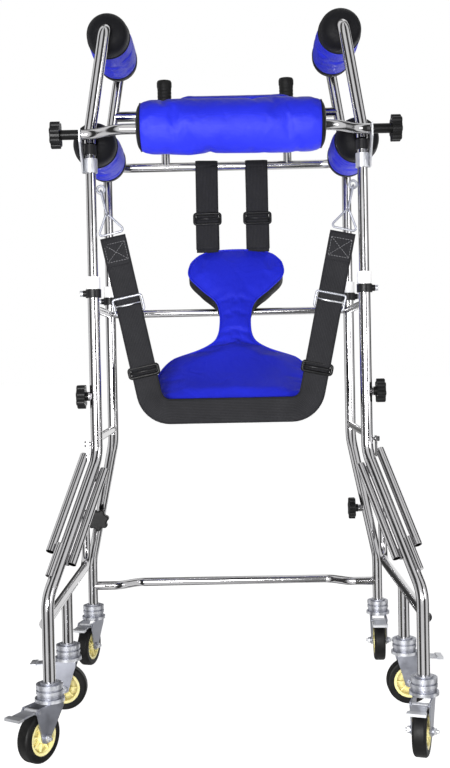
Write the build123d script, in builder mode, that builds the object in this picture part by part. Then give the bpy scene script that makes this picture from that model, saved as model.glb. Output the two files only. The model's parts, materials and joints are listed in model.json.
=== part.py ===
from build123d import *
import os
from math import atan2, cos, degrees, radians, sin

# Six-caster standing and gait-training walker.
# Millimetres, +Z up. The origin is on the floor under the middle of the whole object.
# X runs from the user's left to right and Y points the way the user walks.

# ---- driving dimensions -------------------------------------------------------------
MID_Y = 27.0                     # middle of the upright frame along Y
UPRIGHT_X = 253.0                # upright tubes, either side of the middle
REAR_Y = MID_Y - 140.0           # rear pair of uprights
FRONT_Y = MID_Y + 140.0          # front pair of uprights
FOOT_X = 325.0                   # leg ends
FOOT_SPREAD = 157.0              # how far each leg end splays beyond its upright along Y
REAR_FOOT_Y = REAR_Y - FOOT_SPREAD
FRONT_FOOT_Y = FRONT_Y + FOOT_SPREAD
MIDDLE_FOOT_Y = MID_Y - 40.0
RAIL_X = 332.0                   # side rails and their middle stems
FOOT_Z = 112.0                   # lower ends of the leg tubes

OUTER_R = 11.0                   # outer tube, 22 mm
OUTER_BORE = 9.8
INNER_R = 9.5                    # inner tube, 19 mm
INNER_BORE = 8.3
SLIM_R = 8.0                     # braces and the armpit frame's sliding ends, 16 mm
SLIM_BORE = 6.8
ARM_R = 11.0                     # armpit frame above the slides, 22 mm
ARM_BORE = 9.6
LINK_R = 7.5                     # side links, 15 mm
BAR_R = 9.5                      # crossbars and rails, 19 mm
BAR_BORE = 8.3

OUTER_TOP = 835.0
INNER_BOTTOM = 585.0
INNER_TOP = 1078.0
REAR_KNEE_Z = 506.0              # where the rear legs start to slope
REAR_ANKLE_Z = 275.0
FRONT_KNEE_Z = 513.0
FRONT_ANKLE_Z = 230.0
RAIL_Z = 230.0
LINK_HEIGHTS = (540.0, 784.0)
PIN_Z = 812.0
HEIGHT_KNOB_Z = 620.0
LOWER_KNOB_Z = {"left": 336.0, "right": 349.0}
LOWER_KNOB_WAY = {"left": (0, -1, 0), "right": (-1, 0, 0)}
STUD_R = 4.0
STUD_HOLE_R = 4.1

HANDLEBAR_Y = MID_Y + 178.0
HANDLEBAR_Z = 1100.0
POST_X = 131.0
POST_R = 9.0
GRIP_TOP = 1286.0

ARMPIT_X = 221.0
ARMPIT_Z = 1305.0
FOREARM_X = 250.0
FOREARM_Z = 1098.0
ROLL_R = 43.0
ROLL_HALF = 121.0
PAD_BAR_Z = 1202.0

REAR_BAR_Z = 1101.0
REAR_BAR_END_X = 264.0
REAR_BAR_END_Y = REAR_Y - 32.0
REAR_BAR_MID_Y = REAR_Y - 72.0
REAR_ROLL_SHIFT = 9.5            # the roll sits a little to the right on its bar

WHEEL_R = 44.0
TRAIL = 31.0                     # from the stem back to the axle, rear and front casters
SHORT_TRAIL = 8.0                # middle casters
PEDAL_BACK = 16.0                # from the axle back to the pedal's pivot
PEDAL_Z = 92.0

STRAP_TOP = (213.0, 910.0)       # x, z of the top of each rear strap
STRAP_W = 48.0
STRAP_T = 3.0
FRONT_STRAP_X = 53.5
FRONT_STRAP_SHIFT = 10.0         # both front straps sit a little to the right

SEAT_NEAR = (MID_Y - 122.0, 609.0)   # y, z of the seat's rear top edge
SEAT_T = 42.0
SEAT_SKEW = (6.0, 17.0)          # how far right the seat hangs at its rear and front ends

SIDES = {"left": -1, "right": 1}

# name: x, y, the way the wheel trails behind its stem in degrees from +X, and how far
CASTERS = {
    "rear_left": (-FOOT_X, REAR_FOOT_Y, 239.0, TRAIL),
    "rear_right": (FOOT_X, REAR_FOOT_Y, 252.0, TRAIL),
    "middle_left": (-RAIL_X, MIDDLE_FOOT_Y, 180.0, SHORT_TRAIL),
    "middle_right": (RAIL_X, MIDDLE_FOOT_Y, 0.0, SHORT_TRAIL),
    "front_left": (-FOOT_X, FRONT_FOOT_Y, 255.0, TRAIL),
    "front_right": (FOOT_X, FRONT_FOOT_Y, 266.0, TRAIL),
}

os.makedirs("parts", exist_ok=True)


# ---- helpers ------------------------------------------------------------------------
def save(part, name):
    """Label a finished piece and write it."""
    part.label = name
    export_step(part, f"parts/{name}.step")


def tube(points, bends, outer, inner=0.0):
    """Add a bent tube along a route, or a solid bar when there is no bore."""
    with BuildLine() as route:
        if len(points) == 2:
            Line(*points)
        else:
            FilletPolyline(*points, radius=bends)
    start = Plane(route.line @ 0, z_dir=route.line % 0)
    with BuildSketch(start) as ring:
        Circle(outer)
        if inner:
            Circle(inner, mode=Mode.SUBTRACT)
    sweep(sections=ring.sketch, path=route.line)


def rod(start, end, radius, mode=Mode.ADD):
    """Add or cut a plain cylinder between two points."""
    run = Vector(end) - Vector(start)
    with Locations(Plane(origin=start, z_dir=run)):
        Cylinder(radius, run.length, align=(Align.CENTER, Align.CENTER, Align.MIN), mode=mode)


def block(low, high, mode=Mode.ADD):
    """Add or cut a box given by its lowest and highest corners."""
    size = Vector(high) - Vector(low)
    with Locations(low):
        Box(size.X, size.Y, size.Z, align=(Align.MIN, Align.MIN, Align.MIN), mode=mode)


def box_x(side, near, far, y0, y1, z0, z1, mode=Mode.ADD):
    """Add or cut a box between two distances from the middle, on one side."""
    block((min(side * near, side * far), y0, z0), (max(side * near, side * far), y1, z1), mode)


def ring_at(x, y, z0, z1, outer, inner):
    """Add a short vertical ring."""
    with BuildSketch(Plane.XY.offset(z0)) as section:
        with Locations((x, y)):
            Circle(outer)
            Circle(inner, mode=Mode.SUBTRACT)
    extrude(to_extrude=section.sketch, amount=z1 - z0)


def wire_loop(plane, points, bend, wire_r):
    """Add a bent wire that lies in a plane, its two ends almost meeting."""
    with BuildLine(plane) as route:
        FilletPolyline(*points, radius=bend)
    with BuildSketch(Plane(route.line @ 0, z_dir=route.line % 0)) as section:
        Circle(wire_r)
    sweep(sections=section.sketch, path=route.line)


def ribbon(points, bends, face, width=STRAP_W, thick=STRAP_T):
    """Add a flat strap along a route, its flat side looking the way given."""
    with BuildLine() as route:
        if len(points) == 2:
            Line(*points)
        else:
            FilletPolyline(*points, radius=bends)
    across = Vector(face).cross(route.line % 0)
    with BuildSketch(Plane(route.line @ 0, x_dir=across, z_dir=route.line % 0)) as section:
        Rectangle(width, thick)
    sweep(sections=section.sketch, path=route.line)


def on_rear_slope(fraction, shift=(0.0, 0.0, 0.0), side=1):
    """A point on a rear leg's sloping run, moved sideways by a shift."""
    x = UPRIGHT_X + (FOOT_X - UPRIGHT_X) * fraction + shift[0]
    y = REAR_Y - FOOT_SPREAD * fraction + shift[1]
    z = REAR_KNEE_Z + (REAR_ANKLE_Z - REAR_KNEE_Z) * fraction + shift[2]
    return (side * x, y, z)


def on_front_slope(z, side=1):
    """The point on a front leg's sloping run at a height."""
    fraction = (FRONT_KNEE_Z - z) / (FRONT_KNEE_Z - FRONT_ANKLE_Z)
    x = UPRIGHT_X + (FOOT_X - UPRIGHT_X) * fraction
    return (side * x, FRONT_Y + FOOT_SPREAD * fraction, z)


UPRIGHTS = [(side * UPRIGHT_X, y, side) for side in (-1, 1) for y in (REAR_Y, FRONT_Y)]


# ---- lower frame --------------------------------------------------------------------
LEG_BEND = 60.0

# Rear legs: bent tubes with the boss of the height clamp knob and the hole of the pull pin.
BOSS_R = 8.5
BOSS_TIP = UPRIGHT_X + OUTER_R + 2.0
with BuildPart() as rear_legs:
    for side in (-1, 1):
        tube(
            [
                (side * UPRIGHT_X, REAR_Y, OUTER_TOP),
                (side * UPRIGHT_X, REAR_Y, REAR_KNEE_Z),
                (side * FOOT_X, REAR_FOOT_Y, REAR_ANKLE_Z),
                (side * FOOT_X, REAR_FOOT_Y, FOOT_Z),
            ],
            LEG_BEND, OUTER_R, OUTER_BORE,
        )
        boss_start = (side * (UPRIGHT_X + OUTER_BORE + 0.6), REAR_Y, HEIGHT_KNOB_Z)
        boss_end = (side * BOSS_TIP, REAR_Y, HEIGHT_KNOB_Z)
        rod(boss_start, boss_end, BOSS_R)
        rod((side * UPRIGHT_X, REAR_Y, HEIGHT_KNOB_Z), boss_end, STUD_HOLE_R, Mode.SUBTRACT)
        rod((side * UPRIGHT_X, REAR_Y, OUTER_TOP), (side * UPRIGHT_X, REAR_Y, 560.0),
            OUTER_BORE, Mode.SUBTRACT)
        rod((side * UPRIGHT_X, REAR_Y, PIN_Z), (side * (UPRIGHT_X + 16), REAR_Y, PIN_Z),
            3.5, Mode.SUBTRACT)
save(rear_legs.part, "rear_legs")

# Front legs: the same tubes the other way round, with the boss of the lower clamp knob.
LOWER_BOSS = 19.0
with BuildPart() as front_legs:
    for side in (-1, 1):
        tube(
            [
                (side * UPRIGHT_X, FRONT_Y, OUTER_TOP),
                (side * UPRIGHT_X, FRONT_Y, FRONT_KNEE_Z),
                (side * FOOT_X, FRONT_FOOT_Y, FRONT_ANKLE_Z),
                (side * FOOT_X, FRONT_FOOT_Y, FOOT_Z),
            ],
            LEG_BEND, OUTER_R, OUTER_BORE,
        )
        hand = "left" if side < 0 else "right"
        seat_of_knob = Vector(on_front_slope(LOWER_KNOB_Z[hand], side))
        way = Vector(LOWER_KNOB_WAY[hand])
        rod(seat_of_knob, seat_of_knob + way * LOWER_BOSS, BOSS_R)
        rod(seat_of_knob + way * 13, seat_of_knob + way * LOWER_BOSS, STUD_HOLE_R, Mode.SUBTRACT)
        rod((side * UPRIGHT_X, FRONT_Y, PIN_Z), (side * (UPRIGHT_X + 16), FRONT_Y, PIN_Z),
            3.5, Mode.SUBTRACT)
save(front_legs.part, "front_legs")

# Side rails: from the rear leg along the side, turned up beside the front leg, with the
# stem of the middle caster below.
RISER_Y = FRONT_Y + 107.0
RISER_TOP = 352.0
with BuildPart() as side_rails:
    for side in (-1, 1):
        tube(
            [
                (side * RAIL_X, REAR_FOOT_Y + 4, RAIL_Z),
                (side * RAIL_X, RISER_Y, RAIL_Z),
                (side * RAIL_X, RISER_Y, RISER_TOP),
            ],
            38.0, BAR_R,
        )
        rod((side * RAIL_X, MIDDLE_FOOT_Y, RAIL_Z), (side * RAIL_X, MIDDLE_FOOT_Y, FOOT_Z), OUTER_R)
        rod((side * RAIL_X, MIDDLE_FOOT_Y, FOOT_Z - 1), (side * RAIL_X, MIDDLE_FOOT_Y, RAIL_Z - 12),
            OUTER_BORE, Mode.SUBTRACT)
        rod((side * FOOT_X, REAR_FOOT_Y, RAIL_Z - 20), (side * FOOT_X, REAR_FOOT_Y, RAIL_Z + 20),
            OUTER_R + 0.05, Mode.SUBTRACT)
save(side_rails.part, "side_rails")

# Side links: two short tubes on each side between the rear and front uprights.
with BuildPart() as side_links:
    for side in (-1, 1):
        for height in LINK_HEIGHTS:
            rod((side * UPRIGHT_X, REAR_Y, height), (side * UPRIGHT_X, FRONT_Y, height), LINK_R)
    for x, y, side in UPRIGHTS:
        rod((x, y, 500), (x, y, 820), OUTER_R + 0.05, Mode.SUBTRACT)
save(side_links.part, "side_links")

# Lower crossbars: a straight one between the front uprights, and one near the floor
# between the front legs that is joggled forward to leave room for the feet.
LOW_BAR_Z = 172.0
JOGGLE = 33.0
with BuildPart() as lower_crossbars:
    rod((-UPRIGHT_X, FRONT_Y, LINK_HEIGHTS[1]), (UPRIGHT_X, FRONT_Y, LINK_HEIGHTS[1]), SLIM_R)
    tube(
        [
            (-FOOT_X, FRONT_FOOT_Y, LOW_BAR_Z),
            (-262, FRONT_FOOT_Y, LOW_BAR_Z),
            (-222, FRONT_FOOT_Y + JOGGLE, LOW_BAR_Z),
            (222, FRONT_FOOT_Y + JOGGLE, LOW_BAR_Z),
            (262, FRONT_FOOT_Y, LOW_BAR_Z),
            (FOOT_X, FRONT_FOOT_Y, LOW_BAR_Z),
        ],
        35.0, BAR_R, BAR_BORE,
    )
    for side in (-1, 1):
        rod((side * UPRIGHT_X, FRONT_Y, 700), (side * UPRIGHT_X, FRONT_Y, 820),
            OUTER_R + 0.05, Mode.SUBTRACT)
        rod((side * FOOT_X, FRONT_FOOT_Y, 120), (side * FOOT_X, FRONT_FOOT_Y, 205),
            OUTER_R + 0.05, Mode.SUBTRACT)
save(lower_crossbars.part, "lower_crossbars")

# Leg braces: on each side one tube outside the rear leg's slope, hung from a bolted lug,
# and a shorter one inside it, with the clips that hold them.
OUTSIDE = (24.5, -4.0, 0.0)
INSIDE = (-21.0, 10.0, 0.0)
OUTER_CLIP = (10.5, -12.5, 0.0)
INNER_CLIP = (-9.5, 14.0, 0.0)
BRACE_BOLT_Z = 531.0
LUG_X = UPRIGHT_X + OUTER_R + 3.4
LUG_Y = REAR_Y - 4.0
with BuildPart() as leg_braces:
    for side in (-1, 1):
        tube([on_rear_slope(-0.02, OUTSIDE, side), on_rear_slope(0.68, OUTSIDE, side)],
             None, SLIM_R, SLIM_BORE)
        tube([on_rear_slope(0.10, INSIDE, side), on_rear_slope(0.78, INSIDE, side)],
             None, SLIM_R, SLIM_BORE)
        box_x(side, LUG_X, LUG_X + 3.3, LUG_Y - 6, LUG_Y + 6, 498, BRACE_BOLT_Z + 6)
        rod((side * (UPRIGHT_X + OUTER_R + 0.2), LUG_Y, BRACE_BOLT_Z),
            (side * (LUG_X + 1), LUG_Y, BRACE_BOLT_Z), 3.5)
        rod((side * (LUG_X + 2), LUG_Y, BRACE_BOLT_Z), (side * (LUG_X + 8), LUG_Y, BRACE_BOLT_Z), 5.0)
        rod(on_rear_slope(0.62, OUTER_CLIP, side), on_rear_slope(0.84, OUTER_CLIP, side), 6.5)
        rod(on_rear_slope(0.72, INNER_CLIP, side), on_rear_slope(0.78, INNER_CLIP, side), 7.0)
        rod(on_rear_slope(0.12, INNER_CLIP, side), on_rear_slope(0.18, INNER_CLIP, side), 7.0)
        rod(on_rear_slope(-0.05, (0.0, 0.0, 0.0), side), on_rear_slope(1.0, (0.0, 0.0, 0.0), side),
            OUTER_R + 0.2, Mode.SUBTRACT)
        for offset in (OUTSIDE, INSIDE):
            rod(on_rear_slope(0.0, offset, side), on_rear_slope(0.9, offset, side),
                SLIM_BORE, Mode.SUBTRACT)
save(leg_braces.part, "leg_braces")

# Ferrules that close the tops of the outer tubes round the inner tubes.
with BuildPart() as upright_ferrules:
    for x, y, side in UPRIGHTS:
        ring_at(x, y, 820.0, OUTER_TOP + 0.2, 13.0, OUTER_R + 0.05)
        ring_at(x, y, OUTER_TOP + 0.1, 843.0, 13.0, INNER_R + 0.35)
save(upright_ferrules.part, "upright_ferrules")

# Locking collars, each with a short boss that guides its pull pin.
COLLAR_BOSS = 19.0
with BuildPart() as clip_collars:
    for x, y, side in UPRIGHTS:
        ring_at(x, y, 804.0, 819.5, 14.5, OUTER_R + 0.05)
        rod((x + side * 12.5, y, PIN_Z), (x + side * COLLAR_BOSS, y, PIN_Z), 6.0)
        rod((x + side * 5.0, y, PIN_Z), (x + side * COLLAR_BOSS, y, PIN_Z), 3.5, Mode.SUBTRACT)
save(clip_collars.part, "clip_collars")

# Zinc housings round the lower ends of the legs, over the caster stems, with a groove.
with BuildPart() as stem_sleeves:
    for x, y, heading, trail in CASTERS.values():
        ring_at(x, y, 108.4, 111.7, 22.0, 7.0)
        ring_at(x, y, 111.6, 117.0, 23.5, OUTER_R + 0.05)
        ring_at(x, y, 116.9, 120.6, 21.5, OUTER_R + 0.05)
        ring_at(x, y, 120.5, 128.0, 23.5, OUTER_R + 0.05)
        ring_at(x, y, 127.9, 131.0, 16.0, OUTER_R + 0.05)
save(stem_sleeves.part, "stem_sleeves")


# ---- upper frame --------------------------------------------------------------------
with BuildPart() as inner_tubes:
    for x, y, side in UPRIGHTS:
        ring_at(x, y, INNER_BOTTOM, INNER_TOP, INNER_R, INNER_BORE)
save(inner_tubes.part, "inner_tubes")

with BuildPart() as tube_top_collars:
    for x, y, side in UPRIGHTS:
        ring_at(x, y, INNER_TOP - 9, INNER_TOP + 0.2, 11.7, INNER_R + 0.05)
        ring_at(x, y, INNER_TOP + 0.1, INNER_TOP + 9, 11.7, SLIM_R + 0.3)
save(tube_top_collars.part, "tube_top_collars")

# Front handlebar: a bowed crossbar with two upright posts, held by a plate at each
# front inner tube.
BAR_END_Y = FRONT_Y + 22.0
with BuildPart() as front_handlebar:
    tube(
        [
            (-262, BAR_END_Y, HANDLEBAR_Z),
            (-210, HANDLEBAR_Y, HANDLEBAR_Z),
            (210, HANDLEBAR_Y, HANDLEBAR_Z),
            (262, BAR_END_Y, HANDLEBAR_Z),
        ],
        60.0, BAR_R,
    )
    for side in (-1, 1):
        rod((side * POST_X, HANDLEBAR_Y, HANDLEBAR_Z), (side * POST_X, HANDLEBAR_Y, 1268.0), POST_R)
        with BuildSketch(Plane.YZ.offset(side * UPRIGHT_X)) as plate:
            with BuildLine():
                Polyline(
                    (FRONT_Y + INNER_R - 0.2, 1026),
                    (FRONT_Y + INNER_R - 0.2, 1064),
                    (FRONT_Y + 13.0, 1070),
                    (FRONT_Y + 13.0, 1096),
                    (BAR_END_Y + 8.0, 1096),
                    (BAR_END_Y + 8.0, 1078),
                    close=True,
                )
            make_face()
        extrude(to_extrude=plate.sketch, amount=2.0, both=True)
save(front_handlebar.part, "front_handlebar")

# Rubber hand grips, closed and domed on top.
GRIP_R = 15.0
with BuildPart() as hand_grips:
    for side in (-1, 1):
        rod((side * POST_X, HANDLEBAR_Y, 1172.0), (side * POST_X, HANDLEBAR_Y, GRIP_TOP), GRIP_R)
        rod((side * POST_X, HANDLEBAR_Y, 1172.0), (side * POST_X, HANDLEBAR_Y, 1177.0), GRIP_R + 3)
    fillet(hand_grips.edges().group_by(Axis.Z)[-1], 5.0)
    for side in (-1, 1):
        rod((side * POST_X, HANDLEBAR_Y, 1170.0), (side * POST_X, HANDLEBAR_Y, 1268.3),
            POST_R + 0.1, Mode.SUBTRACT)
save(hand_grips.part, "hand_grips")

# Brackets that hold the rear bar: a ring round the inner tube and, on its outer side, an
# ear with an open notch for the knob's stud.
FLANGE_OUT = UPRIGHT_X + 12.3
PLATE_T = 3.0
NOTCH_R = STUD_R + 0.4
with BuildPart() as bar_brackets:
    for side in (-1, 1):
        ring_at(side * UPRIGHT_X, REAR_Y, 1036.0, 1062.0, 12.8, INNER_R + 0.05)
        with BuildSketch(Plane.YZ.offset(side * (FLANGE_OUT + PLATE_T / 2))) as ear:
            with BuildLine():
                Polyline(
                    (REAR_Y + 5, 1036),
                    (REAR_Y + 5, 1062),
                    (REAR_Y - 19, 1086),
                    (REAR_Y - 19, 1111),
                    (REAR_Y - 45, 1111),
                    (REAR_Y - 45, 1086),
                    (REAR_Y - 10, 1036),
                    close=True,
                )
            make_face()
            with Locations((REAR_BAR_END_Y, REAR_BAR_Z)):
                Circle(NOTCH_R, mode=Mode.SUBTRACT)
            with Locations((REAR_BAR_END_Y, REAR_BAR_Z + 10)):
                Rectangle(2 * NOTCH_R, 20, mode=Mode.SUBTRACT)
        extrude(to_extrude=ear.sketch, amount=PLATE_T / 2, both=True)
save(bar_brackets.part, "bar_brackets")

# Strap hangers on each rear inner tube: a welded eye, a wire link in the eye and a
# triangular ring that holds the webbing.
EYE_X = UPRIGHT_X - INNER_R - 8.6
EYE_Z = 1005.0
LEAN = (STRAP_TOP[0] - EYE_X) / (EYE_Z - STRAP_TOP[1])
WIRE_R = 2.0
WIRE_GAP = 0.3
HOOK_LENGTH = 47.0
HOOK_HALF = 7.0
RING_HEIGHT = 40.0
RING_HALF = 26.0
with BuildPart() as strap_hangers:
    for side in (-1, 1):
        with Locations(Location((side * EYE_X, REAR_Y, EYE_Z), (90, 0, 0))):
            Torus(7.0, 2.2)
        down = Vector(side * LEAN, 0, -1).normalized()
        hook_top = Vector(side * EYE_X, REAR_Y, EYE_Z - 2.0)
        hook_plane = Plane(origin=hook_top, x_dir=(0, 1, 0), z_dir=Vector(0, 1, 0).cross(down))
        wire_loop(
            hook_plane,
            [
                (WIRE_GAP, 0), (HOOK_HALF, 0), (HOOK_HALF, HOOK_LENGTH),
                (-HOOK_HALF, HOOK_LENGTH), (-HOOK_HALF, 0), (-WIRE_GAP, 0),
            ],
            5.0, WIRE_R,
        )
        ring_top = hook_top + down * (HOOK_LENGTH - 2 * WIRE_R - 0.6)
        sideways = Vector(0, 1, 0).cross(down)
        ring_plane = Plane(origin=ring_top, x_dir=sideways, z_dir=sideways.cross(down))
        wire_loop(
            ring_plane,
            [
                (WIRE_GAP, RING_HEIGHT), (RING_HALF, RING_HEIGHT), (0, 0),
                (-RING_HALF, RING_HEIGHT), (-WIRE_GAP, RING_HEIGHT),
            ],
            5.0, WIRE_R,
        )
save(strap_hangers.part, "strap_hangers")

# Webbing: one sling that comes down from both rings and passes behind the seat's rear
# edge, and two straps from the front handlebar to the seat's front edge.
SLING_BOTTOM_Y = SEAT_NEAR[0] - 4.0
SLING_BOTTOM_Z = 588.0
SEAT_FAR = (MID_Y + 157.0, 919.0)
CORNER_X = 160.0
FRONT_STRAP_Y = HANDLEBAR_Y - BAR_R - 0.3 - STRAP_T / 2
FRONT_STRAP_END = (SEAT_FAR[0] + 1.0, SEAT_FAR[1] - 6.0)
with BuildPart() as seat_straps:
    ribbon(
        [
            (-STRAP_TOP[0], REAR_Y, STRAP_TOP[1]),
            (-CORNER_X, SLING_BOTTOM_Y, SLING_BOTTOM_Z),
            (CORNER_X, SLING_BOTTOM_Y, SLING_BOTTOM_Z),
            (STRAP_TOP[0], REAR_Y, STRAP_TOP[1]),
        ],
        36.0,
        (0, STRAP_TOP[1] - SLING_BOTTOM_Z, SLING_BOTTOM_Y - REAR_Y),
    )
    for side in (-1, 1):
        x = side * FRONT_STRAP_X + FRONT_STRAP_SHIFT
        ribbon([(x, FRONT_STRAP_Y, HANDLEBAR_Z), (x, *FRONT_STRAP_END)], None, (0, 1, 0))
        loop_start = (x - STRAP_W / 2, HANDLEBAR_Y, HANDLEBAR_Z)
        loop_end = (x + STRAP_W / 2, HANDLEBAR_Y, HANDLEBAR_Z)
        rod(loop_start, loop_end, BAR_R + 0.3 + STRAP_T)
        rod(loop_start, loop_end, BAR_R + 0.3, Mode.SUBTRACT)
save(seat_straps.part, "seat_straps")


def strap_frame(place, drop, rim):
    """Add a rectangular frame that lies round a strap at a place."""
    with Locations(place):
        Box(STRAP_W + 2 * rim, 9.0, drop)
        Box(STRAP_W + 1.0, STRAP_T + 1.0, drop + 10, mode=Mode.SUBTRACT)


def on_sling(z, side):
    """The place and lean of the rear sling's straight run at a height."""
    fraction = (STRAP_TOP[1] - z) / (STRAP_TOP[1] - SLING_BOTTOM_Z)
    x = STRAP_TOP[0] + (CORNER_X - STRAP_TOP[0]) * fraction
    y = REAR_Y + (SLING_BOTTOM_Y - REAR_Y) * fraction
    sideways = degrees(atan2(STRAP_TOP[0] - CORNER_X, STRAP_TOP[1] - SLING_BOTTOM_Z))
    forward = degrees(atan2(SLING_BOTTOM_Y - REAR_Y, STRAP_TOP[1] - SLING_BOTTOM_Z))
    return Location((side * x, y, z), (forward, side * sideways, 0))


def on_front_strap(z, side):
    """The place and lean of a front strap at a height."""
    run = HANDLEBAR_Z - FRONT_STRAP_END[1]
    fraction = (HANDLEBAR_Z - z) / run
    y = FRONT_STRAP_Y + (FRONT_STRAP_END[0] - FRONT_STRAP_Y) * fraction
    lean = degrees(atan2(FRONT_STRAP_END[0] - FRONT_STRAP_Y, run))
    return Location((side * FRONT_STRAP_X + FRONT_STRAP_SHIFT, y, z), (lean, 0, 0))


with BuildPart() as strap_buckles:
    for side in (-1, 1):
        strap_frame(on_sling(790.0, side), 28.0, 3.5)
save(strap_buckles.part, "strap_buckles")

with BuildPart() as strap_slides:
    for side in (-1, 1):
        strap_frame(on_sling(665.0, side), 14.0, 4.0)
        strap_frame(on_front_strap(985.0, side), 22.0, 4.0)
save(strap_slides.part, "strap_slides")

# Saddle seat: a curved slab in side view, cut to an hourglass outline in rear view.
ARC_R = 360.0
ARC_START = 22.0
ARC_END = 57.0
STRAIGHT = 205.0
HALF_OUTLINE = [
    (0, 560), (126, 562), (146, 600), (151, 640), (128, 688), (62, 708), (33, 730), (31, 775),
    (40, 806), (78, 832), (101, 862), (94, 893), (70, 914), (0, 922),
]
OUTLINE = HALF_OUTLINE + [(-x, z) for x, z in reversed(HALF_OUTLINE[1:-1])]
LOBE_Z = 919.0
skew_rate = (SEAT_SKEW[1] - SEAT_SKEW[0]) / (LOBE_Z - SEAT_NEAR[1])
centre_y = SEAT_NEAR[0] - ARC_R * sin(radians(ARC_START))
centre_z = SEAT_NEAR[1] + ARC_R * cos(radians(ARC_START))


def on_seat_arc(angle, radius):
    """A point on the seat's side profile at a slope angle."""
    a = radians(angle)
    return (centre_y + radius * sin(a), centre_z - radius * cos(a))


slope = (cos(radians(ARC_END)), sin(radians(ARC_END)))
top_end = on_seat_arc(ARC_END, ARC_R)
under_end = on_seat_arc(ARC_END, ARC_R + SEAT_T)
middle = (ARC_START + ARC_END) / 2
with BuildPart() as seat:
    with BuildSketch(Plane.YZ.offset(-170)) as profile:
        with BuildLine():
            upper_arc = ThreePointArc(
                on_seat_arc(ARC_START, ARC_R), on_seat_arc(middle, ARC_R), top_end)
            Line(top_end, (top_end[0] + STRAIGHT * slope[0], top_end[1] + STRAIGHT * slope[1]))
            Line((top_end[0] + STRAIGHT * slope[0], top_end[1] + STRAIGHT * slope[1]),
                 (under_end[0] + STRAIGHT * slope[0], under_end[1] + STRAIGHT * slope[1]))
            Line((under_end[0] + STRAIGHT * slope[0], under_end[1] + STRAIGHT * slope[1]), under_end)
            ThreePointArc(under_end, on_seat_arc(middle, ARC_R + SEAT_T),
                          on_seat_arc(ARC_START, ARC_R + SEAT_T))
            Line(on_seat_arc(ARC_START, ARC_R + SEAT_T), on_seat_arc(ARC_START, ARC_R))
        make_face()
    extrude(amount=340)
    with BuildSketch(Plane.XZ.offset(-400)) as outline:
        with BuildLine():
            Polyline(*[(x + SEAT_SKEW[0] + skew_rate * (z - SEAT_NEAR[1]), z) for x, z in OUTLINE],
                     close=True)
        make_face()
    extrude(amount=800, mode=Mode.INTERSECT)
save(seat.part, "seat")


# ---- armpit frame -------------------------------------------------------------------
LEAN_Z = 1112.0
SWAGE_Z = 1088.0
with BuildPart() as armpit_tubes:
    for side in (-1, 1):
        tube(
            [
                (side * UPRIGHT_X, REAR_Y, SWAGE_Z + 2.5),
                (side * UPRIGHT_X, REAR_Y, LEAN_Z),
                (side * ARMPIT_X, REAR_Y, ARMPIT_Z),
                (side * ARMPIT_X, FRONT_Y, ARMPIT_Z),
                (side * UPRIGHT_X, FRONT_Y, LEAN_Z),
                (side * UPRIGHT_X, FRONT_Y, SWAGE_Z + 2.5),
            ],
            [35.0, 18.5, 18.5, 35.0], ARM_R, ARM_BORE,
        )
        for y in (REAR_Y, FRONT_Y):
            ring_at(side * UPRIGHT_X, y, 925.0, SWAGE_Z + 1.0, SLIM_R, SLIM_BORE)
            x = side * UPRIGHT_X
            with BuildSketch(Plane.XZ.offset(-y)) as swage:
                with BuildLine():
                    Polyline(
                        (x + SLIM_BORE, SWAGE_Z), (x + SLIM_R, SWAGE_Z),
                        (x + ARM_R, SWAGE_Z + 2.6), (x + SLIM_BORE, SWAGE_Z + 2.6),
                        close=True,
                    )
                make_face()
            revolve(profiles=swage.sketch, axis=Axis((side * UPRIGHT_X, y, 0), (0, 0, 1)))
        rod((side * FOREARM_X, REAR_Y + ARM_R - 0.8, FOREARM_Z),
            (side * FOREARM_X, FRONT_Y - ARM_R + 0.8, FOREARM_Z), SLIM_R - 0.5)
save(armpit_tubes.part, "armpit_tubes")

# Crossbar between the front legs of the armpit frame, with two studs for the chest pad.
PAD_BAR_R = 10.5
pad_bar_x = UPRIGHT_X - (UPRIGHT_X - ARMPIT_X) * (PAD_BAR_Z - LEAN_Z) / (ARMPIT_Z - LEAN_Z)
PAD_BACK = FRONT_Y - PAD_BAR_R - 1.0
with BuildPart() as pad_crossbar:
    rod((-pad_bar_x, FRONT_Y, PAD_BAR_Z), (pad_bar_x, FRONT_Y, PAD_BAR_Z), PAD_BAR_R)
    for side in (-1, 1):
        rod((side * UPRIGHT_X, FRONT_Y, LEAN_Z), (side * ARMPIT_X, FRONT_Y, ARMPIT_Z),
            ARM_R + 0.05, Mode.SUBTRACT)
save(pad_crossbar.part, "pad_crossbar")

# Foam rolls with their end caps: upper armpit rolls and lower forearm rolls.
FOREARM_R = 44.0


def roll(x, z, radius, bore):
    """Add a foam roll that lies along Y round a tube."""
    rod((x, MID_Y - ROLL_HALF, z), (x, MID_Y + ROLL_HALF, z), radius)
    rod((x, MID_Y - ROLL_HALF, z), (x, MID_Y + ROLL_HALF, z), bore, Mode.SUBTRACT)


with BuildPart() as armpit_rolls:
    for side in (-1, 1):
        roll(side * ARMPIT_X, ARMPIT_Z, ROLL_R, ARM_R + 0.2)
save(armpit_rolls.part, "armpit_rolls")

with BuildPart() as forearm_rolls:
    for side in (-1, 1):
        roll(side * FOREARM_X, FOREARM_Z, FOREARM_R, SLIM_R)
save(forearm_rolls.part, "forearm_rolls")

# Chest pad: a thick board with rounded corners and edges, on the armpit frame's crossbar.
PAD_SHIFT = 20.0
with BuildPart() as chest_pad:
    with BuildSketch(Plane.XZ.offset(-PAD_BACK)) as pad_face:
        with Locations((PAD_SHIFT, 1196.0)):
            RectangleRounded(258.0, 92.0, 26.0)
    extrude(amount=34.0)
    fillet(chest_pad.faces().sort_by(Axis.Y)[0].edges(), 9.0)
save(chest_pad.part, "chest_pad")


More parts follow.
